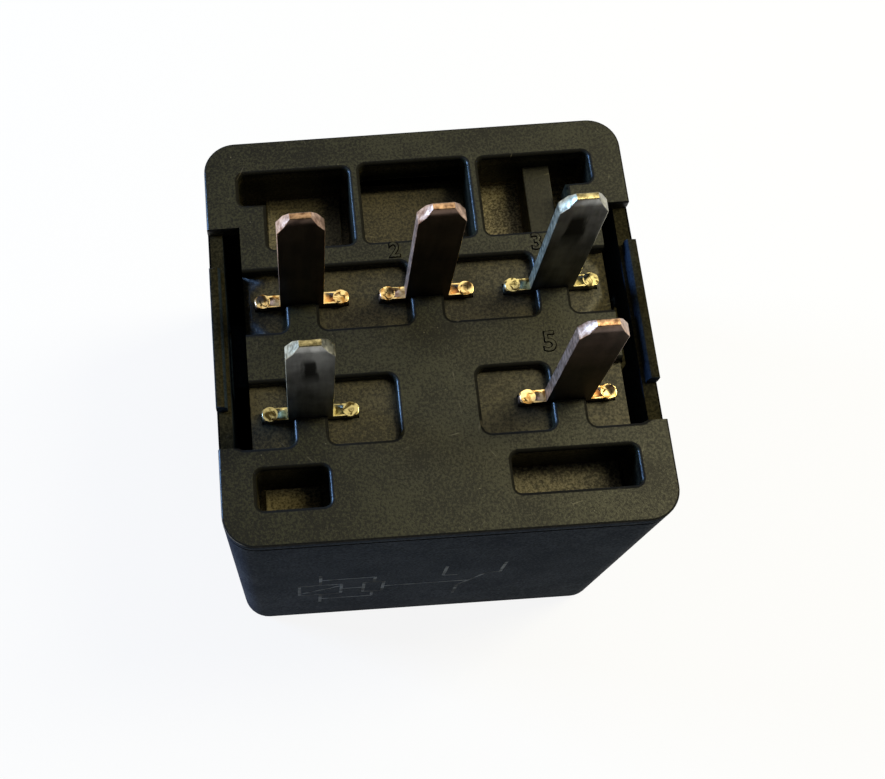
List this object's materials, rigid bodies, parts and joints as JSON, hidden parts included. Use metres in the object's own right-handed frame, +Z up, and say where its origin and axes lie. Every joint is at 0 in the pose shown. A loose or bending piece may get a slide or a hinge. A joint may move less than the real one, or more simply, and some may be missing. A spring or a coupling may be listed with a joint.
{
  "type": "automotive relay",
  "caption": "Cube-shaped plug-in changeover relay with flat blade terminals, a moulded base and a press-on cover; the armature swings between two contacts.",
  "frame": {"origin": "centre of the cover's closed end, on the face that the relay stands on", "axes": "+Z up, toward the terminals' tips; X along the rows of terminals, Y across them, with the row of three at +Y"},
  "size_m": [0.028, 0.0278, 0.0378],
  "materials": {
    "base_plastic": "glass-filled nylon, warm black, fine grain",
    "cover_plastic": "bluish black, satin",
    "copper_terminal": "tarnished copper alloy, bright sheared edges",
    "tinned_terminal": "dull tin plating over copper alloy",
    "plated_iron": "zinc-plated soft iron",
    "bobbin_plastic": "natural glass-filled plastic",
    "enamelled_copper": "enamelled copper wire",
    "spring_bronze": "copper alloy strip, bright",
    "rivet_brass": "brass",
    "contact_silver": "silver alloy, satin",
    "spring_steel": "spring steel wire",
    "copper_braid": "braided bare copper",
    "resistor_ceramic": "light blue lacquered resistor",
    "tinned_wire": "tinned copper wire"
  },
  "bodies": {
    "relay": {"base": "base_plastic", "cover": "cover_plastic", "coil_terminal_left": "copper_terminal", "common_terminal": "copper_terminal", "coil_terminal_right": "tinned_terminal", "closed_contact_terminal": "tinned_terminal", "open_contact_terminal": "copper_terminal", "yoke": "plated_iron", "core": "plated_iron", "bobbin": "bobbin_plastic", "coil_winding": "enamelled_copper", "closed_contact": "contact_silver", "open_contact": "contact_silver", "return_spring": "spring_steel", "flexible_shunt": "copper_braid", "common_rivets": "plated_iron", "resistor": "resistor_ceramic", "resistor_leads": "tinned_wire"},
    "armature": {"armature": "plated_iron", "contact_spring": "spring_bronze", "spring_rivets": "rivet_brass", "moving_contact": "contact_silver"}
  },
  "joints": [
    {"name": "armature_hinge", "type": "hinge", "parent": "relay", "child": "armature", "pos_m": [0, 0.0089, 0.0052], "axis": [-1, 0, 0], "range_deg": [0, 2.5], "stiffness_Nm_per_rad": 0.008, "springref_deg": -9.74, "deforming": ["return_spring"]}
  ]
}
